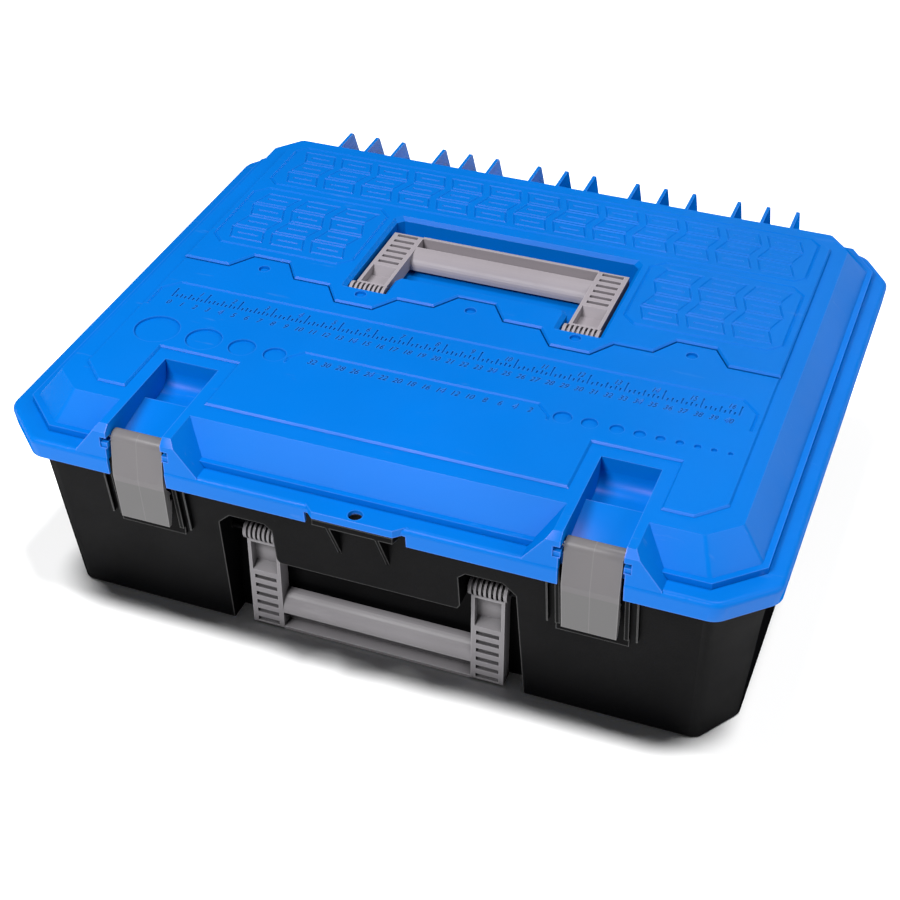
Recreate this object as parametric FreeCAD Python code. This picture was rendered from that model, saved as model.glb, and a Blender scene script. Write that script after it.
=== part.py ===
"""Hard tool case: a latched, hinged lid over a tapered tub, with two folding carry handles.

Frame: X to the right, Y to the back, Z up, in millimetres. The origin is in the middle of
the underside, so the tub stands on Z = 0 and the latches face -Y.
"""
import FreeCAD, Part
import math
import os

V = FreeCAD.Vector

# Overall sizes
case_height = 166.0
lid_width = 525.0
lid_depth = 424.5
overrun = 40.0

# Lid levels and walls
rear_rise = 1.5
plateau_rise = 1.5
plateau_chamfer = 1.2
bevel_drop = 18.9
step_drop = 4.6
skirt_depth = 14.4
lid_wall = 3.0
skirt_draft = 1.4
brim_round = 3.5
brim_corner_round = 14.0
bevel_corner_round = 6.0

# Lid outline: corner cuts, and how far each step stands in from the brim
front_cut_x = 32.5
front_cut_y = 30.4
rear_cut_x = 22.0
rear_cut_y = 33.0
side_inset = 16.6
front_inset = 17.0
rear_inset = 6.5
bevel_run = 15.0
band_width = 4.0
corner_shrink = 6.5

# Raised working plateau with the zig-zag rear edge
plateau_side = 43.5
plateau_front = 45.4
plateau_cut = 17.5
plateau_notch_half = 29.0
plateau_notch_depth = 49.5
zigzag_low = 186.9
zigzag_mid = 204.4
zigzag_high = 222.4
zigzag_pitch_share = 0.36073
zigzag_flat = 14.0
zigzag_slope = 12.0
rear_panel_setback = 29.0
dimple_radius = 4.0
dimple_depth = 2.0
dimple_setback = 13.2

# Latch pockets in the lid and the buttresses beside them
latch_x_share = 0.28952381
pocket_width = 39.0
pocket_rear = 83.9
pocket_draft = 1.9
trough_depth = 20.5
trough_step = 52.9
trough_round = 12.0
ramp_high = 10.8
ramp_low = 16.9
ramp_front = 21.9
notch_width = 41.2
notch_reach = 7.9
buttress_top_half = 25.5
buttress_foot_half = 43.5
buttress_setback = 1.0
buttress_chamfer = 4.5

# Latches and their pins
latch_axis_setback = 10.1
latch_axis_drop = 12.5
barrel_radius = 5.7
latch_width = 36.5
latch_tip_width = 35.2
latch_plate = 3.0
latch_bulge = 3.0
latch_crease_drop = 25.0
latch_length = 61.4
latch_side_wall = 2.0
latch_side_top = 30.0
latch_side_reach = 7.0
latch_notch_top = 38.0
latch_notch_size = 5.0
latch_lip_drop = 52.0
latch_lip_height = 3.0
latch_pin_radius = 2.0
slot_width = 4.7
slot_height = 7.7
slot_entry = 6.0
lug_height = 3.6
lug_setback = 0.8

# Padlock tab on the lid, its bracket on the tub, and the hole through both
tab_reach = 3.6
tab_front_half = 27.0
tab_rear_half = 34.0
tab_flare = 6.6
tab_thickness = 5.5
tab_relief = 0.5
padlock_radius = 4.75
padlock_setback = 2.9
bracket_half = 29.0
bracket_thickness = 4.5
gusset_x = 16.5
gusset_thickness = 2.5
gusset_height = 34.0

# Hinge at the back: lid fins, tub knuckles and pins
hinge_reach = 22.0
hinge_drop = 3.6
eye_radius = 7.0
knuckle_radius = 6.5
hinge_pin_radius = 2.5
running_clearance = 0.05
side_clearance = 0.6
fin_thickness = 2.6
fin_pitch = 22.7
fin_groups = 5
group_pitch_share = 0.1539
fin_top_drop = 1.4
fin_tip_reach = 8.2
fin_tip_round = 1.8
fin_waist_reach = 18.5
fin_waist_drop = 24.5
knuckle_web = 3.0
knuckle_gusset = 30.0
pin_overhang = 1.5
pin_chamfer = 0.5

# Tub
floor_side = 20.5
floor_front = 26.7
floor_rear = 25.0
wall_spread_side = 12.0
wall_spread_front = 19.0
wall_spread_rear = 15.0
floor_cut_x = 20.7
floor_cut_y = 31.3
rim_cut_x = 29.0
rim_cut_y = 33.0
tub_wall = 3.2
tub_corner_round = 10.0
foot_chamfer = 1.2
seal_gap = 0.3
flange_thickness = 3.0
flange_clearance = 0.8

# Latch channel, guide ribs and catch on the tub's front wall
channel_depth = 13.9
channel_bottom = 80.5
rib_thickness = 3.0
rib_reach = 3.0
rib_bottom = 83.8
outer_rib_thickness = 1.2
outer_rib_gap = 4.6
catch_half_width = 14.0
catch_height = 4.0
catch_gap = 0.3
catch_lip_clearance = 0.5

# Carry handle, in its own frame: along the arms, and out from its face
handle_half_width = 92.3
barrel_width = 26.3
arm_inset = 1.7
handle_length = 80.0
handle_face = 4.5
handle_back = 6.5
handle_barrel_radius = 7.0
handle_edge_round = 1.0
barrel_rib_count = 7
barrel_rib_pitch = 3.35
barrel_groove_width = 1.7
barrel_groove_depth = 2.6
barrel_groove_wrap = 5.0
scoop_start = 7.5
scoop_length = 24.5
scoop_border = 2.4
scoop_depth = 7.0
scoop_slope = 4.0
bar_start = 36.0
bar_tail = 2.4
bar_count = 6
bar_width = 3.4
bar_border = 3.5
bar_depth = 2.2
grip_depth = 30.0
grip_step = 14.0
grip_sink = 10.0
grip_groove = 12.5
grip_groove_depth = 9.0
grip_gap = 1.0
grip_facets = 9
handle_pin_radius = 2.2
handle_pin_seat = 3.0

# Handle recesses
recess_floor = 10.5
recess_side_gap = 1.5
recess_panel_half = 62.0
recess_panel_corner = 3.5
recess_arm_inner = 64.0
lid_handle_setback = 214.6
lid_handle_drop = 5.0
lid_recess_back = 8.5
lid_recess_panel = 17.8
lid_recess_far = 95.5
lid_recess_bevel = 2.7
lid_recess_cut = 1.0
lid_recess_corner = 4.5
front_handle_height = 80.5
front_handle_depth = 5.2
front_recess_gap = 9.9
front_recess_back = 24.5
front_recess_panel = 10.5
front_recess_spread = 3.9
front_recess_cut = 5.0
front_recess_corner = 8.5

# Places worked out from the sizes above
plateau_half_width = lid_width / 2 - plateau_side
zigzag_pitch = plateau_half_width * zigzag_pitch_share
floor_half_width = lid_width / 2 - floor_side
group_pitch = lid_width * group_pitch_share
latch_x = lid_width * latch_x_share
grip_start = handle_length - grip_depth
bar_pitch = (handle_length - bar_tail - bar_width - bar_start) / (bar_count - 1)
overall_depth = tab_reach + lid_depth + hinge_reach + eye_radius
brim_front = tab_reach - overall_depth / 2
brim_rear = brim_front + lid_depth
hinge_y = brim_rear + hinge_reach
work_z = case_height - rear_rise
top_z = work_z - plateau_rise
band_z = top_z - bevel_drop
brim_z = band_z - step_drop
skirt_z = brim_z - skirt_depth
hinge_z = skirt_z - hinge_drop
rim_z = brim_z - lid_wall - seal_gap
latch_y = brim_front + latch_axis_setback
latch_z = top_z - latch_axis_drop
channel_y = brim_front + channel_depth
padlock_y = brim_front + padlock_setback
lid_handle_y = brim_front + lid_handle_setback
lid_handle_z = top_z - lid_handle_drop
tub_front = brim_front + floor_front
tub_rear = brim_rear - floor_rear
front_handle_y = tub_front + front_handle_depth
sides = (-1, 1)


def block(x0, x1, y0, y1, z0, z1):
    """Box between two corners."""
    return Part.makeBox(x1 - x0, y1 - y0, z1 - z0, V(x0, y0, z0))


def polygon(points):
    """Closed wire through 3-D points."""
    return Part.makePolygon(points + [points[0]])


def prism_z(points, z0, z1):
    """Upright prism on an outline in X and Y."""
    face = Part.Face(polygon([V(x, y, z0) for x, y in points]))
    return face.extrude(V(0, 0, z1 - z0))


def prism_x(points, x0, x1):
    """Prism along X on an outline in Y and Z."""
    face = Part.Face(polygon([V(x0, y, z) for y, z in points]))
    return face.extrude(V(x1 - x0, 0, 0))


def prism_y(points, y0, y1):
    """Prism along Y on an outline in X and Z."""
    face = Part.Face(polygon([V(x, y0, z) for x, z in points]))
    return face.extrude(V(0, y1 - y0, 0))


def taper(low_points, z0, high_points, z1):
    """Solid between two outlines with as many corners, at two levels."""
    low = polygon([V(x, y, z0) for x, y in low_points])
    high = polygon([V(x, y, z1) for x, y in high_points])
    return Part.makeLoft([low, high], True, True)


def rod(radius, x0, x1, y, z):
    """Cylinder along X."""
    return Part.makeCylinder(radius, x1 - x0, V(x0, y, z), V(1, 0, 0))


def fuse(shapes):
    """One solid from touching ones, without leftover seams."""
    return shapes[0].fuse(shapes[1:]).removeSplitter()


def round_edges(shape, radius, wanted):
    """Fillet the edges that the test picks."""
    return shape.makeFillet(radius, [edge for edge in shape.Edges if wanted(edge)])


def spans(edge, direction):
    """True for a straight edge that mostly runs along a direction."""
    if len(edge.Vertexes) != 2:
        return False
    step = edge.Vertexes[1].Point.sub(edge.Vertexes[0].Point)
    return abs(step.dot(direction)) > step.Length / 2


def at_level(edge, z):
    """True for an edge that lies flat at a level."""
    box = edge.BoundBox
    return abs(box.ZMin - z) + abs(box.ZMax - z) < lid_wall / 1000


def octagon(half_width, front, rear, front_x, front_y, rear_x, rear_y):
    """Rectangle with its front and rear corners cut off."""
    right = [(half_width - front_x, front), (half_width, front + front_y),
             (half_width, rear - rear_y), (half_width - rear_x, rear)]
    return right + [(-x, y) for x, y in reversed(right)]


def lid_outline(side, front, rear, shrink):
    """The lid's outline, moved in at the sides, the front and the back."""
    return octagon(lid_width / 2 - side, brim_front + front, brim_rear - rear,
                   front_cut_x - shrink, front_cut_y - shrink,
                   rear_cut_x - shrink / 2, rear_cut_y - shrink)


def tub_outline(z, inset):
    """The tub wall's outline at a level, moved in by an inset."""
    share = z / rim_z
    half = floor_half_width + share * wall_spread_side - inset
    front = tub_front - share * wall_spread_front + inset
    rear = tub_rear + share * wall_spread_rear - inset
    cut_x = floor_cut_x + share * (rim_cut_x - floor_cut_x)
    cut_y = floor_cut_y + share * (rim_cut_y - floor_cut_y)
    return octagon(half, front, rear, cut_x, cut_y, cut_x, cut_y)


def wall_y(z):
    """Where the tub's front wall stands at a level."""
    return tub_front - wall_spread_front * z / rim_z


def rear_wall_y(z):
    """Where the tub's rear wall stands at a level."""
    return tub_rear + wall_spread_rear * z / rim_z


def recess_outline(back, panel, far, outer_near, outer_far, cut, near_corner, far_corner, bevel=0):
    """Handle recess in the handle's own frame: two arm slots joined by a grip slot."""
    inner, near, outer = recess_arm_inner - bevel, outer_near + bevel, outer_far + bevel
    right = [(recess_panel_half - bevel, panel - bevel),
             (inner, panel - bevel - recess_panel_corner),
             (inner, cut - back),
             (inner + cut, -back),
             (near - near_corner, -back), (near, near_corner - back),
             (outer, far + bevel - far_corner), (outer - far_corner, far + bevel)]
    return right + [(-x, u) for x, u in reversed(right)]


def grown_recess(back, panel, far, outer_near, outer_far, wall):
    """The recess outline with the wall that surrounds it."""
    right = [(0, panel - wall), (recess_panel_half - wall / 2, panel - wall),
             (recess_arm_inner - wall, panel - wall - recess_panel_corner / 2),
             (recess_arm_inner - wall, -back - wall),
             (outer_near + wall, -back - wall), (outer_far + wall, far + wall)]
    return right + [(-x, u) for x, u in reversed(right) if x > 0]


def zigzag_points():
    """Rear edge of the working plateau, from right to left."""
    low, mid, high = (brim_front + d for d in (zigzag_low, zigzag_mid, zigzag_high))
    right = [(zigzag_flat, high), (zigzag_flat + zigzag_slope, mid),
             (zigzag_pitch - zigzag_flat - zigzag_slope, mid), (zigzag_pitch - zigzag_flat, low),
             (zigzag_pitch + zigzag_flat, low), (zigzag_pitch + zigzag_flat + zigzag_slope, mid),
             (2 * zigzag_pitch - zigzag_flat - zigzag_slope, mid), (2 * zigzag_pitch - zigzag_flat, high),
             (2 * zigzag_pitch + zigzag_flat, high), (2 * zigzag_pitch + zigzag_flat + zigzag_slope, mid),
             (plateau_half_width, mid)]
    return [(x, y) for x, y in reversed(right)] + [(-x, y) for x, y in right]


def plateau_outline():
    """Raised working area: a zig-zag at the back and notches round the latch pockets."""
    front = brim_front + plateau_front
    notch = front + plateau_notch_depth
    right = [(latch_x - plateau_notch_half, front), (latch_x - plateau_notch_half, notch),
             (latch_x + plateau_notch_half, notch), (latch_x + plateau_notch_half, front),
             (plateau_half_width - plateau_cut, front), (plateau_half_width, front + plateau_cut)]
    return right + zigzag_points() + [(-x, y) for x, y in reversed(right)]


def rear_panel_outline():
    """Raised area behind the zig-zag, round the lid handle."""
    rear = brim_rear - rear_panel_setback
    right = [(plateau_half_width, rear - plateau_cut), (plateau_half_width - plateau_cut, rear)]
    return zigzag_points()[::-1] + right + [(-x, y) for x, y in reversed(right)]


def raised_plate(outline, z):
    """Plate on the lid's top up to a level, with its upper edges chamfered."""
    plate = prism_z(outline, top_z - lid_wall, z)
    return plate.makeChamfer(plateau_chamfer, [edge for edge in plate.Edges if at_level(edge, z)])


def pocket_profile(grow):
    """Side view of a latch pocket, with the thickness of its wall added."""
    rear = brim_front + pocket_rear + grow
    trough_z = top_z - trough_depth - grow
    step_y = brim_front + trough_step - grow
    front_y = brim_front + ramp_front + grow
    return [(rear, case_height + overrun), (rear, top_z), (rear - pocket_draft, trough_z),
            (step_y, trough_z), (step_y, top_z - ramp_high - grow),
            (front_y, top_z - ramp_low - grow), (front_y, brim_z - grow),
            (brim_front - overrun, brim_z - grow), (brim_front - overrun, case_height + overrun)]


def latch_pocket(x, grow):
    """Space that the latch folds back into, with a round corner at its rear."""
    half = pocket_width / 2 + grow
    shape = prism_x(pocket_profile(grow), x - half, x + half)
    corner = V(x, brim_front + pocket_rear + grow - pocket_draft, top_z - trough_depth - grow)
    limit = trough_round / 2
    return round_edges(shape, trough_round,
                       lambda e: e.CenterOfMass.sub(corner).Length < limit and spans(e, V(1, 0, 0)))


def buttress(x, inset):
    """Block that carries the pocket's side walls out to the skirt."""
    foot = brim_z - step_drop if inset == 0 else skirt_z
    foot_half = buttress_foot_half - inset
    points = [(x - foot_half, foot), (x - foot_half, brim_z - inset),
              (x - buttress_top_half + inset, top_z - inset),
              (x + buttress_top_half - inset, top_z - inset),
              (x + foot_half, brim_z - inset), (x + foot_half, foot)]
    front = brim_front + buttress_setback + inset
    rear = brim_front + front_inset + bevel_run + inset
    shape = prism_y(points, front, rear)
    edge = [(front, top_z - inset - buttress_chamfer), (front, top_z), (front + buttress_chamfer, top_z)]
    if inset == 0:
        shape = shape.cut(prism_x(edge, x - buttress_foot_half, x + buttress_foot_half))
    return shape


def pin_slots(x):
    """Seats for the latch pin's ends, open at the front so that the pin snaps in."""
    half = pocket_width / 2 + slot_width
    entry = block(x - half, x + half, brim_front - overrun, latch_y - latch_pin_radius,
                  latch_z - slot_height / 2, latch_z + slot_height / 2)
    throat = block(x - half, x + half, latch_y - slot_entry, latch_y,
                   latch_z - latch_pin_radius, latch_z + latch_pin_radius)
    seat = rod(latch_pin_radius, x - half, x + half, latch_y, latch_z)
    return fuse([entry, throat, seat])


def pin_lugs(x):
    """Small snap lugs under the slots, in front of the pin."""
    front = brim_front + buttress_setback + lug_setback
    rear = latch_y - latch_pin_radius - running_clearance
    low = latch_z - slot_height / 2
    lugs = []
    for side in sides:
        inner = x + side * pocket_width / 2
        outer = inner + side * slot_width
        lugs.append(block(min(inner, outer), max(inner, outer), front, rear, low, low + lug_height))
    return lugs


def lid_tab():
    """Padlock tab in the middle of the brim."""
    front = brim_front - tab_reach
    rear = brim_front + lid_wall + lid_wall
    points = [(tab_front_half, front), (tab_rear_half, front + tab_flare), (tab_rear_half, rear)]
    points = points + [(-x, y) for x, y in reversed(points)]
    return prism_z(points, brim_z - tab_thickness, brim_z)


def fin(x):
    """Lid hinge fin: a thin plate with a sloping back edge and an eye for the pin."""
    top = top_z - fin_top_drop
    tip = brim_rear + fin_tip_reach
    waist = (brim_rear + fin_waist_reach, top_z - fin_waist_drop)
    root = brim_rear - rear_inset - bevel_run
    points = [(root, top), (tip - fin_tip_round, top), (tip, top - fin_tip_round), waist,
              (hinge_y + eye_radius, hinge_z), (hinge_y, hinge_z - eye_radius),
              (brim_rear - lid_wall / 2, skirt_z), (brim_rear - lid_wall / 2, brim_z),
              (root, band_z)]
    x0, x1 = x - fin_thickness / 2, x + fin_thickness / 2
    corner = block(x0, x1, hinge_y, hinge_y + overrun, hinge_z - overrun, hinge_z)
    plate = prism_x(points, x0, x1).cut(corner)
    return fuse([plate, rod(eye_radius, x0, x1, hinge_y, hinge_z)])


def group_centres():
    """Middle of each hinge group across the case."""
    return [(i - (fin_groups - 1) / 2) * group_pitch for i in range(fin_groups)]


def lid_shell_shape():
    """Lid moulding with its skirt, bevels, pockets, tab and hinge fins."""
    skirt = taper(lid_outline(skirt_draft, skirt_draft, skirt_draft, 0), skirt_z,
                  lid_outline(0, 0, 0, 0), brim_z)
    skirt = round_edges(skirt, brim_corner_round, lambda e: spans(e, V(0, 0, 1)))
    skirt = round_edges(skirt, brim_round, lambda e: at_level(e, brim_z))
    foot = lid_outline(side_inset, front_inset, rear_inset, corner_shrink)
    grown = lid_outline(side_inset - band_width, front_inset - band_width,
                        rear_inset - band_width, corner_shrink - band_width / 2)
    crown = lid_outline(side_inset + bevel_run, front_inset + bevel_run,
                        rear_inset + bevel_run, 2 * corner_shrink)
    band = taper(grown, brim_z - lid_wall, grown, band_z)
    bevel = taper(foot, band_z, crown, top_z)
    bevel = round_edges(bevel, bevel_corner_round, lambda e: spans(e, V(0, 0, 1)))
    plates = [raised_plate(plateau_outline(), work_z), raised_plate(rear_panel_outline(), case_height)]
    pieces = [skirt, band, bevel, lid_tab()] + plates
    pieces += [buttress(side * latch_x, 0) for side in sides]
    shell = fuse(pieces)

    low = taper(lid_outline(lid_wall + skirt_draft, lid_wall + skirt_draft, lid_wall + skirt_draft, 0),
                skirt_z - overrun, lid_outline(lid_wall, lid_wall, lid_wall, 0), brim_z - lid_wall)
    inner_foot = lid_outline(side_inset + lid_wall, front_inset + lid_wall,
                             rear_inset + lid_wall, corner_shrink)
    inner_crown = lid_outline(side_inset + bevel_run + lid_wall, front_inset + bevel_run + lid_wall,
                              rear_inset + bevel_run + lid_wall, 2 * corner_shrink)
    middle = taper(inner_foot, brim_z - 2 * lid_wall, inner_foot, band_z - lid_wall)
    high = taper(inner_foot, band_z - lid_wall, inner_crown, top_z - lid_wall)
    hollow = fuse([low, middle, high] + [buttress(side * latch_x, lid_wall) for side in sides])
    hollow = hollow.cut([latch_pocket(side * latch_x, lid_wall) for side in sides])
    hollow = hollow.cut(lid_recess(lid_wall))
    shell = shell.cut(hollow)

    front = brim_front - overrun
    voids = [latch_pocket(side * latch_x, 0) for side in sides]
    voids += [pin_slots(side * latch_x) for side in sides]
    voids += [block(side * latch_x - notch_width / 2, side * latch_x + notch_width / 2,
                    front, brim_front + notch_reach, skirt_z - overrun, top_z - ramp_low)
              for side in sides]
    voids.append(lid_recess(0))
    voids.append(block(-tab_rear_half, tab_rear_half, front, brim_front + lid_wall + skirt_draft,
                       skirt_z - overrun, brim_z - tab_thickness))
    voids.append(Part.makeCylinder(padlock_radius, case_height, V(0, padlock_y, skirt_z - overrun)))
    voids += [dimple(*place) for place in dimple_places()]
    shell = shell.cut(voids)

    fins = [fin(centre + step * fin_pitch) for centre in group_centres() for step in (-1, 0, 1)]
    lugs = [lug for side in sides for lug in pin_lugs(side * latch_x)]
    shell = fuse([shell] + fins + lugs)
    seats = [rod(handle_pin_radius, *span, lid_handle_y, lid_handle_z)
             for span in handle_pin_spans(recess_side_gap)]
    bore = hinge_pin_radius + running_clearance
    bores = [rod(bore, -lid_width / 2, lid_width / 2, hinge_y, hinge_z)]
    return shell.cut(seats + bores)


def dimple_places():
    """Shallow round marks beside the zig-zag line."""
    low, high = brim_front + zigzag_low, brim_front + zigzag_high
    places = [(0, high - dimple_setback, work_z)]
    for side in sides:
        places.append((side * zigzag_pitch, low + dimple_setback, case_height))
        places.append((side * 2 * zigzag_pitch, high - dimple_setback, work_z))
    return places


def dimple(x, y, z):
    """One round mark, pressed into the level it lies on."""
    return Part.makeCylinder(dimple_radius, overrun, V(x, y, z - dimple_depth))


def lid_recess(grow):
    """Space for the lid handle with its bevelled rim, or its walls when grown."""
    half = handle_half_width + recess_side_gap
    sizes = (lid_recess_back, lid_recess_panel, lid_recess_far, half, half)
    if grow:
        points = [(x, lid_handle_y + u) for x, u in grown_recess(*sizes, grow)]
        return prism_z(points, lid_handle_z - recess_floor - grow, case_height + overrun)
    cuts = (lid_recess_cut, lid_recess_cut, lid_recess_corner)
    low = [(x, lid_handle_y + u) for x, u in recess_outline(*sizes, *cuts)]
    high = [(x, lid_handle_y + u) for x, u in recess_outline(*sizes, *cuts, lid_recess_bevel)]
    level = case_height - lid_recess_bevel
    return fuse([prism_z(low, lid_handle_z - recess_floor, level), taper(low, level, high, case_height),
                 prism_z(high, case_height, case_height + overrun)])


def handle_pin_spans(gap):
    """From where to where each handle pin runs across the case, for a recess with this side gap."""
    inner = recess_arm_inner - handle_pin_seat
    outer = handle_half_width + gap + handle_pin_seat
    return [(-outer, -inner), (inner, outer)]


def latch_shape(x):
    """Latch: a rolled barrel, a creased face, side walls and a snap lip."""
    half, tip_half = latch_width / 2, latch_tip_width / 2
    top = latch_z
    front = latch_y - barrel_radius
    crease_z = top - latch_crease_drop
    tip_z = top - latch_length
    outer = [(front, top), (front - latch_bulge, crease_z), (front, tip_z)]
    inner = [(y + latch_plate, z) for y, z in reversed(outer)]
    plate = prism_x(outer + inner, x - half, x + half)
    side_top = top - latch_side_top
    bulge_share = (side_top - tip_z) / (crease_z - tip_z)
    inner_top = front + latch_plate - latch_bulge * bulge_share
    back = front + latch_side_reach
    notch_z = top - latch_notch_top
    profile = [(inner_top - latch_plate / 2, side_top), (inner_top, side_top),
               (back, notch_z), (back - latch_notch_size / 2, notch_z),
               (back - latch_notch_size / 2, notch_z - latch_notch_size),
               (back, notch_z - latch_notch_size), (front + latch_plate, tip_z),
               (front + latch_plate / 2, tip_z)]
    parts = [plate, rod(barrel_radius, x - half, x + half, latch_y, latch_z)]
    for side in sides:
        edge = x + side * tip_half
        inner_edge = edge - side * latch_side_wall
        parts.append(prism_x(profile, min(edge, inner_edge), max(edge, inner_edge)))
    lip_z = top - latch_lip_drop
    lip_front = front + latch_plate / 2 - latch_bulge / 2
    lip = [(lip_front, lip_z), (latch_lip_y(), lip_z), (latch_lip_y(), lip_z - latch_lip_height / 2),
           (lip_front, lip_z - latch_lip_height)]
    parts.append(prism_x(lip, x - tip_half, x + tip_half))
    shape = fuse(parts)
    trim = latch_width + latch_tip_width
    for side in sides:
        wedge = [(x + side * half, crease_z), (x + side * tip_half, tip_z),
                 (x + side * trim, tip_z), (x + side * trim, crease_z)]
        shape = shape.cut(prism_y(wedge, latch_y - overrun, latch_y + overrun))
    bore = rod(latch_pin_radius + running_clearance, x - latch_width, x + latch_width, latch_y, latch_z)
    return shape.cut(bore)


def latch_lip_y():
    """Rear edge of the latch's lip, just in front of the catch."""
    return channel_y - catch_height - catch_gap


def latch_pin_shape(x):
    """Steel pin through the latch barrel, seated in the lid's slots."""
    half = pocket_width / 2 + slot_width - latch_pin_radius / 4
    return rod(latch_pin_radius, x - half, x + half, latch_y, latch_z)


def hinge_pin_shape(x):
    """Steel pin through one hinge group, with chamfered ends."""
    half = fin_pitch + fin_thickness / 2 + pin_overhang
    pin = rod(hinge_pin_radius, x - half, x + half, hinge_y, hinge_z)
    ends = [edge for edge in pin.Edges if abs(edge.BoundBox.XMax - edge.BoundBox.XMin) < pin_chamfer]
    return pin.makeChamfer(pin_chamfer, ends)


def knuckle(x0, x1):
    """Tub hinge knuckle on a web and two gussets."""
    wall = rear_wall_y(hinge_z) - tub_wall / 2
    web_z = skirt_z - knuckle_web
    web = prism_x([(wall, web_z - knuckle_web), (wall, web_z),
                   (hinge_y, web_z), (hinge_y, web_z - knuckle_web)],
                  x0, x1)
    low = web_z - knuckle_gusset
    side = [(rear_wall_y(low) - tub_wall / 2, low), (wall, web_z),
            (hinge_y, web_z), (hinge_y, hinge_z - knuckle_radius)]
    gussets = [prism_x(side, x0, x0 + fin_thickness), prism_x(side, x1 - fin_thickness, x1)]
    return [web] + gussets + [rod(knuckle_radius, x0, x1, hinge_y, hinge_z)]


def latch_channel_parts(x):
    """Guide ribs, backing slab and catch for one latch."""
    half = notch_width / 2
    back = channel_y + tub_wall
    low = channel_bottom - tub_wall
    outer = half + rib_thickness + outer_rib_gap + outer_rib_thickness
    parts = [block(x - half - rib_thickness, x + half + rib_thickness, channel_y, back, low, rim_z)]
    spans_from_middle = [(half, half + rib_thickness), (outer - outer_rib_thickness, outer)]
    for side, (near, far) in [(side, span) for side in sides for span in spans_from_middle]:
        x0, x1 = sorted((x + side * near, x + side * far))
        top = rim_z - flange_thickness
        rib = [(wall_y(rib_bottom) - rib_reach, rib_bottom), (wall_y(rib_bottom) + tub_wall / 2, rib_bottom),
               (wall_y(top) + tub_wall / 2, top), (wall_y(top) - rib_reach, top)]
        parts.append(prism_x(rib, x0, x1))
    return parts


def catch(x):
    """Catch that the latch's lip snaps under."""
    low = latch_z - latch_lip_drop + catch_lip_clearance
    front = channel_y - catch_height
    points = [(channel_y, low), (front, low),
              (front, low + catch_height / 2), (channel_y, low + catch_height)]
    return prism_x(points, x - catch_half_width, x + catch_half_width)


def padlock_bracket():
    """Bracket under the lid's padlock tab, on two gussets."""
    top = brim_z - tab_thickness - tab_relief
    low = top - bracket_thickness
    front = brim_front - tab_reach
    rear = wall_y(low) + tub_wall / 2
    points = [(tab_front_half, front), (bracket_half, front + tab_flare), (bracket_half, rear)]
    points = points + [(-x, y) for x, y in reversed(points)]
    parts = [prism_z(points, low, top)]
    foot = low - gusset_height
    side = [(front, low), (wall_y(low) + tub_wall / 2, low), (wall_y(foot) + tub_wall / 2, foot),
            (wall_y(foot), foot)]
    for sign in sides:
        middle = sign * gusset_x
        parts.append(prism_x(side, middle - gusset_thickness / 2, middle + gusset_thickness / 2))
    return parts


def front_recess(grow):
    """Space for the front handle, or its walls when grown."""
    near = handle_half_width + front_recess_gap
    sizes = (front_recess_back, front_recess_panel, front_handle_height + overrun,
             near, near + front_recess_spread)
    cuts = (front_recess_cut, front_recess_corner, lid_recess_corner)
    outline = grown_recess(*sizes, grow) if grow else recess_outline(*sizes, *cuts)
    points = [(x, front_handle_height - u) for x, u in outline]
    return prism_y(points, brim_front - overrun, front_handle_y + recess_floor + grow)


def base_tub_shape():
    """Tub moulding with its rim, handle recess, latch channels, bracket and knuckles."""
    tub = taper(tub_outline(0, 0), 0, tub_outline(rim_z, 0), rim_z)
    tub = round_edges(tub, tub_corner_round, lambda e: spans(e, V(0, 0, 1)))
    tub = tub.makeChamfer(foot_chamfer, [edge for edge in tub.Edges if at_level(edge, 0)])
    rim_gap = lid_wall + skirt_draft + flange_clearance
    outline = lid_outline(rim_gap, rim_gap, rim_gap, 0)
    flange = prism_z(outline, rim_z - flange_thickness, rim_z)
    flange = round_edges(flange, brim_corner_round, lambda e: spans(e, V(0, 0, 1)))
    front_parts = [part for side in sides for part in latch_channel_parts(side * latch_x)]
    tub = fuse([tub, flange] + padlock_bracket())

    cavity = taper(tub_outline(tub_wall, tub_wall), tub_wall,
                   tub_outline(rim_z + tub_wall, tub_wall), rim_z + tub_wall)
    cavity = round_edges(cavity, tub_corner_round - tub_wall, lambda e: spans(e, V(0, 0, 1)))
    cavity = cavity.cut(front_recess(tub_wall))
    tub = tub.cut([cavity, front_recess(0)])
    tub = fuse([tub] + front_parts)

    channels = [block(side * latch_x - notch_width / 2, side * latch_x + notch_width / 2,
                      brim_front - overrun, channel_y, channel_bottom, rim_z + overrun) for side in sides]
    hole = Part.makeCylinder(padlock_radius, case_height, V(0, padlock_y, skirt_z - overrun))
    seats = [rod(handle_pin_radius, *span, front_handle_y, front_handle_height)
             for span in handle_pin_spans(front_recess_gap)]
    tub = tub.cut(channels + seats + [hole])

    knuckles = []
    inner = fin_thickness / 2 + side_clearance
    for centre in group_centres():
        for step in (-1, 0):
            start = centre + step * fin_pitch
            knuckles += knuckle(start + inner, start + fin_pitch - inner)
    tub = fuse([tub] + knuckles + [catch(side * latch_x) for side in sides])
    return tub.cut(rod(hinge_pin_radius, -lid_width / 2, lid_width / 2, hinge_y, hinge_z))


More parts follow.
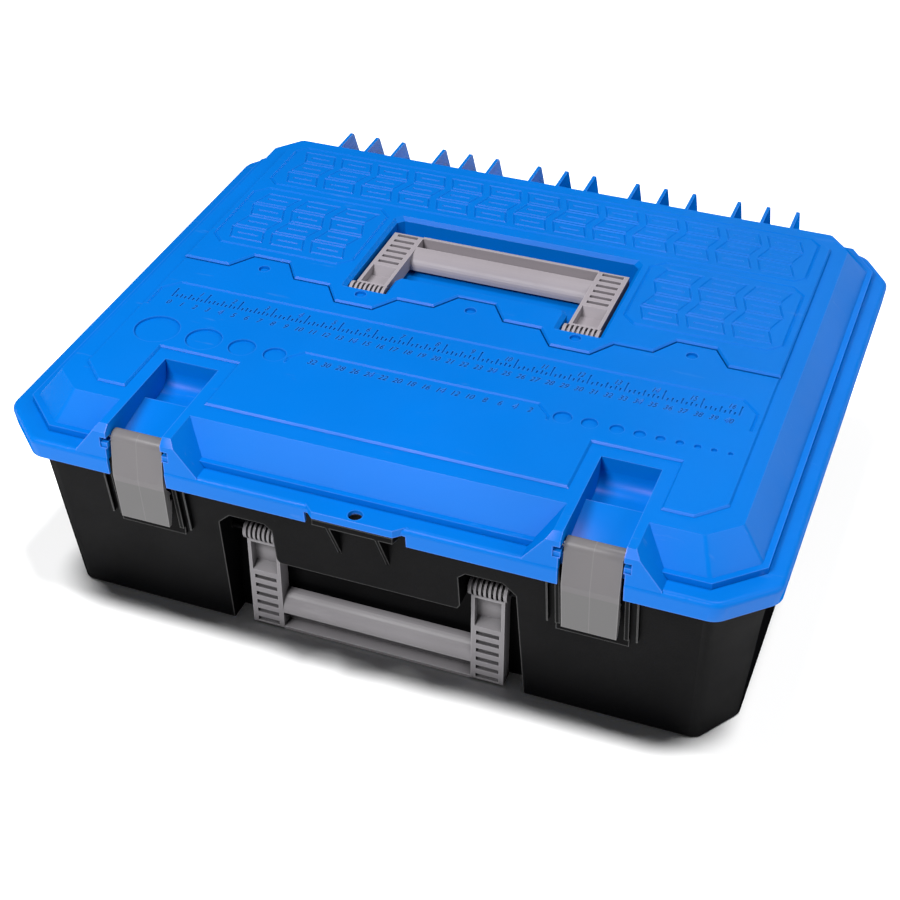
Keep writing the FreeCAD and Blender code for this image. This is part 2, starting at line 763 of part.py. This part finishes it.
def handle_shape():
    """Carry handle in its own frame: X across, Y along the arms, Z out of its face."""
    inner = handle_half_width - barrel_width
    bore = handle_pin_radius + running_clearance
    pieces = []
    for side in sides:
        x0, x1 = sorted((side * inner, side * handle_half_width))
        near, far = x0 + arm_inset, x1 - arm_inset
        arm = block(near, far, 0, handle_length, -handle_back, handle_face)
        arm = arm.makeChamfer(handle_edge_round, [e for e in arm.Edges if e.BoundBox.YMin > 0])
        arm = arm.fuse(rod(handle_barrel_radius, x0, x1, 0, 0))
        scoop_end = scoop_start + scoop_length
        scoop = [(scoop_start, handle_face), (scoop_start, handle_face - scoop_depth),
                 (scoop_end - scoop_slope, handle_face - scoop_depth), (scoop_end, handle_face)]
        cuts = [prism_x(scoop, near + scoop_border, far - scoop_border)]
        for i in range(barrel_rib_count):
            middle = (x0 + x1) / 2 + (i - (barrel_rib_count - 1) / 2) * barrel_rib_pitch
            cuts.append(barrel_groove(middle))
        for i in range(bar_count):
            start = bar_start + i * bar_pitch
            cuts.append(block(near + bar_border, far - bar_border, start, start + bar_width,
                              handle_face - bar_depth, handle_face + bar_depth))
        pieces.append(arm.cut(cuts))
    sink = handle_face - grip_sink
    curve_end = grip_start + grip_step
    quarter = math.pi / 2
    turns = [quarter * i / grip_facets for i in range(1, grip_facets)]
    curve = [(curve_end - grip_step * math.cos(turn), sink + grip_sink * math.sin(turn)) for turn in turns]
    section = [(grip_start, -handle_back), (grip_start, sink)] + curve
    section = section + [(curve_end, handle_face), (curve_end + grip_gap, handle_face),
               (curve_end + grip_gap, handle_face - grip_groove_depth),
               (curve_end + grip_gap + grip_groove, handle_face - grip_groove_depth),
               (curve_end + grip_gap + grip_groove, handle_face),
               (handle_length, handle_face), (handle_length, -handle_back)]
    pieces.append(prism_x(section, -inner - arm_inset, inner + arm_inset))
    return fuse(pieces).cut(rod(bore, -lid_width / 2, lid_width / 2, 0, 0))


def barrel_groove(x):
    """Ring groove round the side of the barrel that faces away from the arm."""
    x0, x1 = x - barrel_groove_width / 2, x + barrel_groove_width / 2
    ring = rod(handle_barrel_radius + barrel_groove_depth, x0, x1, 0, 0)
    ring = ring.cut(rod(handle_barrel_radius - barrel_groove_depth, x0, x1, 0, 0))
    keep = block(x0, x1, -overrun, barrel_groove_wrap, -overrun, overrun)
    return ring.common(keep)


def lid_handle_shape():
    """Handle laid flat in the lid, its barrels towards the front."""
    shape = handle_shape()
    shape.translate(V(0, lid_handle_y, lid_handle_z))
    return shape


def front_handle_shape():
    """Handle hanging in the front recess, its face forward."""
    shape = handle_shape()
    shape.rotate(V(0, 0, 0), V(0, 0, 1), 180)
    shape.rotate(V(0, 0, 0), V(1, 0, 0), 90)
    shape.translate(V(0, front_handle_y, front_handle_height))
    return shape


def handle_pin_shape(index, y, z, gap):
    """Steel pin through one handle barrel, seated in both recess walls."""
    x0, x1 = handle_pin_spans(gap)[index]
    return rod(handle_pin_radius, x0, x1, y, z)


def parts():
    """Every separate piece of the case, by name."""
    shapes = {
        "base_tub": base_tub_shape(),
        "lid_shell": lid_shell_shape(),
        "lid_handle": lid_handle_shape(),
        "front_handle": front_handle_shape(),
    }
    for side, name in zip(sides, ("left", "right")):
        shapes["latch_" + name] = latch_shape(side * latch_x)
        shapes["latch_pin_" + name] = latch_pin_shape(side * latch_x)
    for index, name in enumerate(("left", "right")):
        lid_pin = handle_pin_shape(index, lid_handle_y, lid_handle_z, recess_side_gap)
        shapes["lid_handle_pin_" + name] = lid_pin
        shapes["front_handle_pin_" + name] = handle_pin_shape(index, front_handle_y, front_handle_height,
                                                              front_recess_gap)
    for number, centre in enumerate(group_centres(), start=1):
        shapes["hinge_pin_%d" % number] = hinge_pin_shape(centre)
    return shapes


os.makedirs("parts", exist_ok=True)
for node, shape in parts().items():
    print(node, "solids", len(shape.Solids), "volume", round(shape.Volume / 1000, 1),
          "valid", shape.isValid())
    shape.exportStep("parts/" + node + ".step")
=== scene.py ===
"""Looks of the hard tool case: finishes, moulded marks, light and camera round the CAD frame."""

import math

import bmesh
import bpy
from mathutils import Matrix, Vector


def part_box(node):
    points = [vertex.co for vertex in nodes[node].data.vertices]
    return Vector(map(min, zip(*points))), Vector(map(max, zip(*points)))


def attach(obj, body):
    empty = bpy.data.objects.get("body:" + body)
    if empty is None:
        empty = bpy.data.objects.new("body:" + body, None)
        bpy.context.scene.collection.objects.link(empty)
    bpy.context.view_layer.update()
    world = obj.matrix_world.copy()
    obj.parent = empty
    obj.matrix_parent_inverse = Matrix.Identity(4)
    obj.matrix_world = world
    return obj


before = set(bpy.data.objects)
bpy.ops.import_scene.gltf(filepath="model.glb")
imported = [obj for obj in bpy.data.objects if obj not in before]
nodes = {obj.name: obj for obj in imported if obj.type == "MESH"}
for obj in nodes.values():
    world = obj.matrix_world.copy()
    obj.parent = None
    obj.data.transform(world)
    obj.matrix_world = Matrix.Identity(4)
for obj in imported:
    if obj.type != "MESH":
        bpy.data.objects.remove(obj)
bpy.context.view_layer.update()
MM = 0.001

# Levels of the lid's top, in millimetres, taken from the frame
REAR_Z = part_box("lid_shell")[1].z / MM
FIELD_STEP = 1.5
WORK_Z = REAR_Z - FIELD_STEP

# Ruler: the lengths of the eight ticks in an inch, and where figures stand beside their ticks
RULER_Y = -60.55
INCH = 25.4
CENTIMETRE = 10
RULER_INCHES = 16
RULER_CENTIMETRES = 40
RULER_START = -RULER_INCHES / 2 * INCH
TICK_FOOT = 11
TICK_LENGTHS = (11, 3.2, 4.6, 3.2, 6.5, 3.2, 4.6, 3.2)
INCH_FIGURE = {"size": 7.6, "wide": 0.68}
INCH_FIGURE_X, INCH_FIGURE_Y = -6.2, -4.6
FIGURE_SIZE = 7.4
FIGURE_X, FIGURE_Y = 1.6, -20.7

# Round gauges: place along the row and radius
GAUGES = ((-193, 15.875), (-157.4, 12.7), (-128.8, 9.525), (-104.5, 7.9), (98, 6.35), (116, 5.5), (134, 4.8),
          (149, 4.0), (162.5, 3.2), (175, 2.8), (186.5, 2.4), (197, 2.1), (207.5, 1.8))
GAUGE_Y = -52
GAUGE_DEPTH = 1.5

# Label bar: even numbers that count down
LABELS = range(32, 0, -2)
LABEL_START = -77
LABEL_PITCH = 10.2
LABEL_Y = -54
LABEL_SIZE = 7.6

# Open frames round the ruler and the label bar, in points from the ruler's line
RULER_FRAME = ((-215, -25), (-215, -3), (-205, 7.5), (202, 7.5), (214, -5), (214, -25))
LABEL_FRAME = ((-94.3, -58), (-94.3, -52), (-86, -43), (79, -43), (89.3, -54), (89.3, -58))

# Tread panels from the ruler's line: left, right, front and rear edge, and the corner cut
REAR_PANEL = (-210, 210, 160, 222, 7)
SIDE_PANEL = (102, 213, 67, 152, 9)

# Tread fields from the ruler's line: edges, tiles across and rows
TREADS = ((-202, 202, 165, 217, 13, 3), (109, 206, 74, 145, 3, 4), (-206, -109, 74, 145, 3, 4))
TREAD_LEAN = 3.0
TILE_GAP_X, TILE_GAP_Y = 3.4, 1.6
INNER_LINE_GAP = 8.0

# Sections of the grooves: width at the top, width of the floor and depth
FRAME_GROOVE = {"width": 2.5, "floor": 0.4, "depth": 0.9}
TICK_GROOVE = {"width": 1.2, "floor": 0.7, "depth": 0.8}
TILE_GROOVE = {"width": 1.7, "floor": 0.3, "depth": 0.7}

# How far cutting solids stand above the surface, and other limits of the mesh work
LIFT = 0.3
SHARPEST_MITRE = 0.3
CIRCLE_POINTS = 40
PIT_SLOPE = 0.35
FIGURE_DEPTH = 0.7
FIGURE_SLANT = 0.25
FIGURE_WEIGHT = 0.006
DOUBLE_DISTANCE = 0.005
WELD_DISTANCE = 0.002
FLAT_DEGREES = 0.6
EDGE_SEGMENTS = 3
EDGE_DEGREES = 28

FLOOR_HALF = 60.0
CASE_MIDDLE = (0, 0, 0.1)


# Mesh helpers

def placed(name, data):
    """A new object in the scene."""
    made = bpy.data.objects.new(name, data)
    bpy.context.scene.collection.objects.link(made)
    return made


def mesh_object(name, bm):
    """A new object from a finished mesh."""
    mesh = bpy.data.meshes.new(name)
    bm.to_mesh(mesh)
    bm.free()
    return placed(name, mesh)


def offset_corners(points, closed):
    """Unit mitre direction to the left of the path at each of its points."""
    count = len(points)
    found = []
    for i in range(count):
        before = points[i - 1] if closed or i > 0 else None
        after = points[(i + 1) % count] if closed or i < count - 1 else None
        sides = []
        for a, b in ((before, points[i]), (points[i], after)):
            if a is None or b is None:
                continue
            step = Vector((b[0] - a[0], b[1] - a[1])).normalized()
            sides.append(Vector((-step.y, step.x)))
        total = sum(sides, Vector((0, 0))).normalized()
        found.append(total / max(total.dot(sides[0]), SHARPEST_MITRE))
    return found


def add_groove(bm, points, z, width, floor, depth, closed=False):
    """A trough with sloping walls along a path, as a closed solid that is cut away."""
    top = width / 2 + LIFT * (width - floor) / 2 / depth
    section = ((top, z + LIFT), (-top, z + LIFT), (-floor / 2, z - depth), (floor / 2, z - depth))
    rings = []
    for (x, y), side in zip(points, offset_corners(points, closed)):
        rings.append([bm.verts.new(Vector((x + side.x * reach, y + side.y * reach, level)) * MM)
                      for reach, level in section])
    pairs = list(zip(rings, rings[1:] + rings[:1])) if closed else list(zip(rings, rings[1:]))
    for a, b in pairs:
        for k in range(4):
            bm.faces.new((a[k], a[(k + 1) % 4], b[(k + 1) % 4], b[k]))
    if not closed:
        bm.faces.new(rings[0][::-1])
        bm.faces.new(rings[-1])


def add_pit(bm, points, z, depth):
    """A sunken area with sloping walls, as a closed solid that is cut away. The points run anticlockwise."""
    grow = PIT_SLOPE * LIFT / depth
    low, high = [], []
    for (x, y), side in zip(points, offset_corners(points, True)):
        high.append(bm.verts.new(Vector((x - side.x * grow, y - side.y * grow, z + LIFT)) * MM))
        low.append(bm.verts.new(Vector((x + side.x * PIT_SLOPE, y + side.y * PIT_SLOPE, z - depth)) * MM))
    bm.faces.new(high)
    bm.faces.new(low[::-1])
    count = len(points)
    for i in range(count):
        j = (i + 1) % count
        bm.faces.new((high[i], low[i], low[j], high[j]))


def circle(x, y, radius):
    """Points round a circle, anticlockwise."""
    turns = [2 * math.pi * i / CIRCLE_POINTS for i in range(CIRCLE_POINTS)]
    return [(x + radius * math.cos(turn), y + radius * math.sin(turn)) for turn in turns]


def chamfered(x0, x1, y0, y1, cut):
    """Rectangle with cut corners, anticlockwise."""
    return [(x0 + cut, y0), (x1 - cut, y0), (x1, y0 + cut), (x1, y1 - cut),
            (x1 - cut, y1), (x0 + cut, y1), (x0, y1 - cut), (x0, y0 + cut)]


def mirrored(points):
    """The same outline on the other side, still anticlockwise."""
    return [(-x, y) for x, y in reversed(points)]


def from_ruler(points):
    """Points given from the ruler's line, moved to the lid."""
    return [(x, RULER_Y + y) for x, y in points]


def add_words(bm, text, x, y, z, size, wide=0.8):
    """Figures sunk into a flat surface. The place is the middle of their foot."""
    curve = bpy.data.curves.new("figures", "FONT")
    curve.body = text
    curve.size = size * MM
    curve.shear = FIGURE_SLANT
    curve.extrude = FIGURE_DEPTH * MM
    curve.resolution_u = 3
    curve.offset = FIGURE_WEIGHT * size * MM
    holder = placed("figures", curve)
    mesh = bpy.data.meshes.new_from_object(holder)
    bpy.data.objects.remove(holder)
    part = bmesh.new()
    part.from_mesh(mesh)
    bmesh.ops.remove_doubles(part, verts=part.verts, dist=DOUBLE_DISTANCE * MM)
    places = [v.co.x for v in part.verts]
    middle = (min(places) + max(places)) / 2
    for v in part.verts:
        v.co = Vector(((v.co.x - middle) * wide + x * MM, v.co.y + y * MM, v.co.z + z * MM))
    part.to_mesh(mesh)
    part.free()
    bm.from_mesh(mesh)
    bpy.data.meshes.remove(mesh)


def hidden_solid(name, bm, body):
    """The solid that a node is cut with. It isn't shown."""
    bmesh.ops.recalc_face_normals(bm, faces=bm.faces)
    made = mesh_object(name, bm)
    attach(made, body)
    made.hide_render = True
    made.hide_viewport = True
    return made


def soften(name, width, cutter=None):
    """Rounds a node's edges and cuts its marks into it, with modifiers."""
    o = nodes[name]
    weld = o.modifiers.new("weld", "WELD")
    weld.merge_threshold = WELD_DISTANCE * MM
    flat = o.modifiers.new("flat", "DECIMATE")
    flat.decimate_type = "DISSOLVE"
    flat.angle_limit = math.radians(FLAT_DEGREES)
    bevel = o.modifiers.new("edges", "BEVEL")
    bevel.width = width * MM
    bevel.segments = EDGE_SEGMENTS
    bevel.limit_method = "ANGLE"
    bevel.angle_limit = math.radians(EDGE_DEGREES)
    bevel.use_clamp_overlap = True
    bevel.harden_normals = False
    if cutter:
        cut = o.modifiers.new("marks", "BOOLEAN")
        cut.operation = "DIFFERENCE"
        cut.solver = "EXACT"
        cut.object = cutter


# Moulded marks on the lid

def add_ruler(bm):
    """Frame, ticks and figures of the ruler."""
    add_groove(bm, from_ruler(RULER_FRAME), WORK_Z, **FRAME_GROOVE)
    foot = RULER_Y - TICK_FOOT
    eighths = len(TICK_LENGTHS)
    for i in range(RULER_INCHES * eighths + 1):
        x = RULER_START + i * INCH / eighths
        add_groove(bm, [(x, foot), (x, foot + TICK_LENGTHS[i % eighths])], WORK_Z, **TICK_GROOVE)
    for i in range(1, RULER_INCHES + 1):
        add_words(bm, str(i), RULER_START + i * INCH + INCH_FIGURE_X, RULER_Y + INCH_FIGURE_Y, WORK_Z,
                  **INCH_FIGURE)
    for i in range(RULER_CENTIMETRES + 1):
        add_words(bm, str(i), RULER_START + i * CENTIMETRE + FIGURE_X, RULER_Y + FIGURE_Y, WORK_Z,
                  FIGURE_SIZE)


def add_gauges(bm):
    """Round gauges and the label bar between them."""
    for x, radius in GAUGES:
        add_pit(bm, circle(x, RULER_Y + GAUGE_Y, radius), WORK_Z, GAUGE_DEPTH)
    for i, number in enumerate(LABELS):
        add_words(bm, str(number), LABEL_START + i * LABEL_PITCH, RULER_Y + LABEL_Y, WORK_Z, LABEL_SIZE)
    add_groove(bm, from_ruler(LABEL_FRAME), WORK_Z, **FRAME_GROOVE)


def add_tread(bm, x0, x1, y0, y1, across, rows):
    """Plain tread of slanted tiles that lean the other way in each row."""
    dx, dy = (x1 - x0) / across, (y1 - y0) / rows
    outer_half, outer_high = dx / 2 - TILE_GAP_X, dy / 2 - TILE_GAP_Y
    for i in range(across):
        for j in range(rows):
            cx, cy = x0 + dx * (i + 0.5), y0 + dy * (j + 0.5)
            lean = TREAD_LEAN if j % 2 else -TREAD_LEAN
            for closed, half, high in ((True, outer_half, outer_high), (False, dx / 2 - INNER_LINE_GAP, 0)):
                k = lean * high / (dy / 2)
                tile = [(cx - half - k, cy - high), (cx + half - k, cy - high),
                        (cx + half + k, cy + high), (cx - half + k, cy + high)]
                add_groove(bm, tile if closed else tile[:2], REAR_Z, closed=closed, **TILE_GROOVE)


def lid_marks():
    """Ruler, gauges, outlines and tread on the lid's top, as one solid to cut away."""
    bm = bmesh.new()
    add_ruler(bm)
    add_gauges(bm)
    rear, side = from_ruler(chamfered(*REAR_PANEL)), from_ruler(chamfered(*SIDE_PANEL))
    for outline in (rear, side, mirrored(side)):
        add_groove(bm, outline, REAR_Z, closed=True, **FRAME_GROOVE)
    for x0, x1, y0, y1, across, rows in TREADS:
        add_tread(bm, x0, x1, RULER_Y + y0, RULER_Y + y1, across, rows)
    return bm


# Materials

def material(name):
    """Empty node material and its shader."""
    made = bpy.data.materials.new(name)
    made.use_nodes = True
    tree = made.node_tree
    shader = tree.nodes["Principled BSDF"]
    return made, tree, shader


def node(tree, kind, **values):
    """A node with its inputs and settings."""
    made = tree.nodes.new(kind)
    for key, value in values.items():
        if key in made.inputs:
            made.inputs[key].default_value = value
        else:
            setattr(made, key, value)
    return made


def maths(tree, operation, first, second=None):
    """Arithmetic on one or two values. The second may be a plain number."""
    made = node(tree, "ShaderNodeMath", operation=operation)
    tree.links.new(first, made.inputs[0])
    if isinstance(second, float):
        made.inputs[1].default_value = second
    elif second is not None:
        tree.links.new(second, made.inputs[1])
    return made.outputs["Value"]


def noise(tree, coords, scale, detail=2.0, roughness=0.5, stretch=None):
    """Noise at a scale, with its coordinates stretched if asked."""
    source = coords.outputs["Object"]
    if stretch:
        mapping = node(tree, "ShaderNodeMapping", Scale=stretch)
        tree.links.new(source, mapping.inputs["Vector"])
        source = mapping.outputs["Vector"]
    made = node(tree, "ShaderNodeTexNoise", Scale=scale, Detail=detail, Roughness=roughness)
    tree.links.new(source, made.inputs["Vector"])
    return made.outputs["Fac"]


def spread(tree, value, low, high, to_low=0.0, to_high=1.0):
    """Part of a value's range, stretched to another."""
    made = node(tree, "ShaderNodeMapRange")
    made.inputs["From Min"].default_value = low
    made.inputs["From Max"].default_value = high
    made.inputs["To Min"].default_value = to_low
    made.inputs["To Max"].default_value = to_high
    tree.links.new(value, made.inputs["Value"])
    return made.outputs["Result"]


def mixed(tree, share, colour_a, colour_b):
    """Colour between two, or between a socket and a colour."""
    made = node(tree, "ShaderNodeMix", data_type="RGBA")
    sockets = [s for s in made.inputs if s.type == "RGBA"]
    tree.links.new(share, made.inputs["Factor"])
    for socket, colour in zip(sockets, (colour_a, colour_b)):
        if isinstance(colour, tuple):
            socket.default_value = colour
        else:
            tree.links.new(colour, socket)
    return [s for s in made.outputs if s.type == "RGBA"][0]


def toned(colour, gains, lift=0.0):
    """A colour with each channel made stronger or weaker, and all of them lifted."""
    return tuple(min(1.0, c * gain + lift) for c, gain in zip(colour[:3], gains)) + (1.0,)


def folded(tree, coords, scuffs_and_painted_light, colour, fold):
    """Latch face: painted shade below its fold, where the face turns down away from the light, with a thin
    mould line down the middle.
    """
    middle, level = fold
    place = node(tree, "ShaderNodeSeparateXYZ")
    tree.links.new(coords.outputs["Object"], place.inputs["Vector"])
    # Painted shade: the colour is darkened below the fold, where the face tilts away from the light from
    # above.
    painted_shade_below_fold = spread(tree, place.outputs["Z"], level - 0.3 * MM, level + 0.3 * MM, 1.0, 0.0)
    scuffs_and_painted_light = mixed(tree, painted_shade_below_fold, scuffs_and_painted_light, toned(colour, (0.92, 0.95, 0.92)))
    side = maths(tree, "ABSOLUTE", place.outputs["X"])
    away = maths(tree, "ABSOLUTE", maths(tree, "SUBTRACT", side, middle))
    line_share = spread(tree, away, 0.15 * MM, 0.4 * MM, 0.07, 0.0)
    return mixed(tree, line_share, scuffs_and_painted_light, (0.5, 0.48, 0.48, 1))


def plastic(name, colour, shade, rough, grain, grain_height, scuff, specular, rim_gloss, tint=(1, 1, 1, 1),
            reach=1.5, painted_shade_gain=0.5, painted_highlight_share=0.4, fold=None):
    """Moulded plastic: slow colour drift, painted shade in corners and hollows, painted highlights on convex
    edges, fine grain, scuffs and uneven gloss.
    """
    made, tree, shader = material(name)
    coords = node(tree, "ShaderNodeTexCoord")

    drift = spread(tree, noise(tree, coords, 9.0, 3.0), 0.35, 0.65)
    base = mixed(tree, drift, colour, shade)
    scratches = noise(tree, coords, 60.0, 4.0, 0.6, stretch=(0.35, 2.4, 1.0))
    marks = spread(tree, scratches, 0.66, 0.78, 0.0, scuff)
    # This colour holds the real scuffs. Further down it also takes painted shade and painted highlight.
    scuffs_and_painted_light = mixed(tree, marks, base, toned(colour, (0.75,) * 3, 0.16))
    if fold:
        scuffs_and_painted_light = folded(tree, coords, scuffs_and_painted_light, colour, fold)

    # Painted highlight: convex edges, found by an inside occlusion test, are lightened in the colour to
    # stand in for light caught on the rounded edges.
    rims = node(tree, "ShaderNodeAmbientOcclusion", samples=6, inside=True, only_local=True, Distance=MM)
    painted_edge_highlight = spread(tree, rims.outputs["AO"], 0.92, 0.45, 0.0, painted_highlight_share)
    scuffs_and_painted_light = mixed(tree, painted_edge_highlight, scuffs_and_painted_light, toned(colour, (1.5,) * 3, 0.07))
    # Painted shade: the colour is darkened where occlusion within reach finds nearby surfaces, in corners,
    # grooves, pits and hollows. The reach sets how far this painted shade spreads.
    corners = node(tree, "ShaderNodeAmbientOcclusion", samples=6, Distance=reach * MM)
    clear_of_painted_shade = spread(tree, corners.outputs["AO"], 0.2, 0.6 + reach / 40)
    tree.links.new(mixed(tree, clear_of_painted_shade, toned(colour, (painted_shade_gain,) * 3), scuffs_and_painted_light), shader.inputs["Base Color"])

    cloud = noise(tree, coords, 22.0, 4.0, 0.6)
    tree.links.new(spread(tree, cloud, 0.3, 0.7, rough - 0.05, rough + 0.07), shader.inputs["Roughness"])
    bump = node(tree, "ShaderNodeBump", Strength=grain_height, Distance=0.4 * MM)
    tree.links.new(noise(tree, coords, grain, 2.0), bump.inputs["Height"])
    tree.links.new(bump.outputs["Normal"], shader.inputs["Normal"])

    rim_share = spread(tree, rims.outputs["AO"], 0.85, 0.3, specular, specular + rim_gloss)
    facing = node(tree, "ShaderNodeLayerWeight", Blend=0.5)
    fade = spread(tree, facing.outputs["Facing"], 0.45, 0.75, 1.0, 0.0)
    tree.links.new(maths(tree, "MULTIPLY", rim_share, fade), shader.inputs["Specular IOR Level"])
    shader.inputs["Specular Tint"].default_value = tint
    return made


def drawn_steel():
    """Bright pin steel with fine lines across."""
    made, tree, shader = material("drawn_steel")
    coords = node(tree, "ShaderNodeTexCoord")
    lines = noise(tree, coords, 900.0, 3.0, 0.6, stretch=(0.05, 1.0, 1.0))
    tone = mixed(tree, lines, (0.42, 0.43, 0.45, 1), (0.62, 0.63, 0.65, 1))
    tree.links.new(tone, shader.inputs["Base Color"])
    tree.links.new(spread(tree, lines, 0.3, 0.7, 0.25, 0.42), shader.inputs["Roughness"])
    shader.inputs["Metallic"].default_value = 1.0
    return made


def latch_fold():
    """Distance of the latches' middle from the case's middle, and the height of their fold."""
    low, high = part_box("latch_right")
    return (low.x + high.x) / 2, high.z - 0.53 * (high.z - low.z)


def paint(o, finish):
    """Puts one finish on all of a node's slots."""
    o.data.materials.clear()
    o.data.materials.append(finish)
    for face in o.data.polygons:
        face.material_index = 0


blue = plastic("blue_moulding", (0.0, 0.128, 0.495, 1), (0.0, 0.136, 0.53, 1), rough=0.33, grain=1400.0,
               grain_height=0.1, scuff=0.2, specular=0.1, rim_gloss=1.0, tint=(0.9, 0.5, 1.0, 1), painted_shade_gain=0.3,
               painted_highlight_share=0.25)
black = plastic("black_moulding", (0.0018, 0.0018, 0.0021, 1), (0.003, 0.003, 0.0033, 1), rough=0.42,
                grain=1100.0, grain_height=0.3, scuff=0.02, specular=0.035, rim_gloss=0.3, reach=4.0,
                painted_highlight_share=0.8)
satin = {"rough": 0.4, "grain": 1300.0, "grain_height": 0.15, "scuff": 0.2, "specular": 0.2,
         "rim_gloss": 0.4}
# One grey plastic in three copies: one for the front handle, a copy painted darker for the latches' shaded
# fronts, and a copy painted lighter for the lid handle, lit from above. The front handle's long occlusion
# reach paints deep shade in its grip groove.
grey = plastic("grey_moulding", (0.168, 0.16, 0.169, 1), (0.19, 0.182, 0.191, 1), reach=12.0, painted_shade_gain=0.2,
               **satin)
grey_shaded_copy = plastic("grey_moulding_shaded_copy", (0.124, 0.118, 0.123, 1), (0.141, 0.134, 0.139, 1), reach=5.0,
                     fold=latch_fold(), **satin)
grey_lit_copy = plastic("grey_moulding_lit_copy", (0.265, 0.241, 0.262, 1), (0.292, 0.267, 0.29, 1), reach=5.0,
                    **satin)
steel = drawn_steel()

finishes = {"base_tub": black, "lid_shell": blue, "lid_handle": grey_lit_copy, "front_handle": grey,
            "latch_left": grey_shaded_copy, "latch_right": grey_shaded_copy,
            "front_handle_pin_left": black, "front_handle_pin_right": black}
for name, o in nodes.items():
    paint(o, finishes.get(name, steel))

soften("lid_shell", 1.0, hidden_solid("lid_marks", lid_marks(), "lid"))
edge_widths = {"base_tub": 0.9, "lid_handle": 0.45, "front_handle": 0.45, "latch_left": 0.4,
               "latch_right": 0.4}
for name, width in edge_widths.items():
    soften(name, width)


# Floor, light and camera

def floor():
    """Wide pale studio floor."""
    bm = bmesh.new()
    for x, y in ((-1, -1), (1, -1), (1, 1), (-1, 1)):
        bm.verts.new((x * FLOOR_HALF, y * FLOOR_HALF, 0))
    bm.faces.new(bm.verts)
    made = mesh_object("floor", bm)
    finish, tree, shader = material("pale_floor")
    coords = node(tree, "ShaderNodeTexCoord")
    tone = spread(tree, noise(tree, coords, 3.0), 0.3, 0.7)
    pale = mixed(tree, tone, (0.93, 0.93, 0.93, 1), (0.95, 0.95, 0.95, 1))
    tree.links.new(pale, shader.inputs["Base Color"])
    shader.inputs["Roughness"].default_value = 0.6
    shader.inputs["Specular IOR Level"].default_value = 0.2
    made.data.materials.append(finish)
    return made


def aimed(o, way):
    """Turns a lamp or a camera to look along a direction."""
    o.rotation_euler = way.to_track_quat("-Z", "Y").to_euler()


def lamp(name, place, size, power):
    """Soft square lamp that faces the case."""
    light = bpy.data.lights.new(name, "AREA")
    light.shape = "RECTANGLE"
    light.size, light.size_y = size
    light.energy = power
    made = placed(name, light)
    made.location = place
    aimed(made, Vector(CASE_MIDDLE) - Vector(place))
    return made


def sky(name, energy, way, spread_angle):
    """Even light from above that travels the given way."""
    light = bpy.data.lights.new(name, "SUN")
    light.energy = energy
    light.angle = math.radians(spread_angle)
    made = placed(name, light)
    aimed(made, Vector(way))
    return made


def light_only(source, things):
    """Lets a lamp light only the things named, as flags in a studio do."""
    group = bpy.data.collections.new(source.name + "_lit")
    for thing in things:
        group.objects.link(thing)
    source.light_linking.receiver_collection = group


ground = floor()
light_only(sky("top_panel", 1.6, (-0.05, -0.22, -1), 14), nodes.values())
light_only(sky("floor_panel_right", 3.3, (-0.21, 0.02, -1), 11), [ground])
light_only(sky("floor_panel_left", 3.0, (0.2, 0.02, -1), 14), [ground])
light_only(lamp("front_panel", (-0.65, -1.45, 1.75), (0.8, 0.5), 55), nodes.values())
light_only(lamp("side_panel", (1.7, -0.2, 1.3), (1.2, 0.8), 14), nodes.values())
rear_panel = lamp("rear_panel", (0.3, 1.9, 1.0), (1.2, 0.8), 16)
rear_panel.visible_glossy = False
light_only(rear_panel, nodes.values())

world = bpy.data.worlds.new("studio")
world.use_nodes = True
backdrop = world.node_tree.nodes["Background"]
backdrop.inputs["Color"].default_value = (1, 1, 1, 1)
backdrop.inputs["Strength"].default_value = 0.06
bpy.context.scene.world = world

azimuth, elevation = math.radians(20.62), math.radians(37.31)
camera = placed("camera", bpy.data.cameras.new("camera"))
camera.data.lens = 70.27
camera.data.sensor_width = 36
camera.location = (0.3493, -0.98445, 0.8275)
aimed(camera, Vector((-math.sin(azimuth) * math.cos(elevation), math.cos(azimuth) * math.cos(elevation),
                      -math.sin(elevation))))
bpy.context.scene.camera = camera
bpy.context.scene.view_settings.view_transform = "Standard"
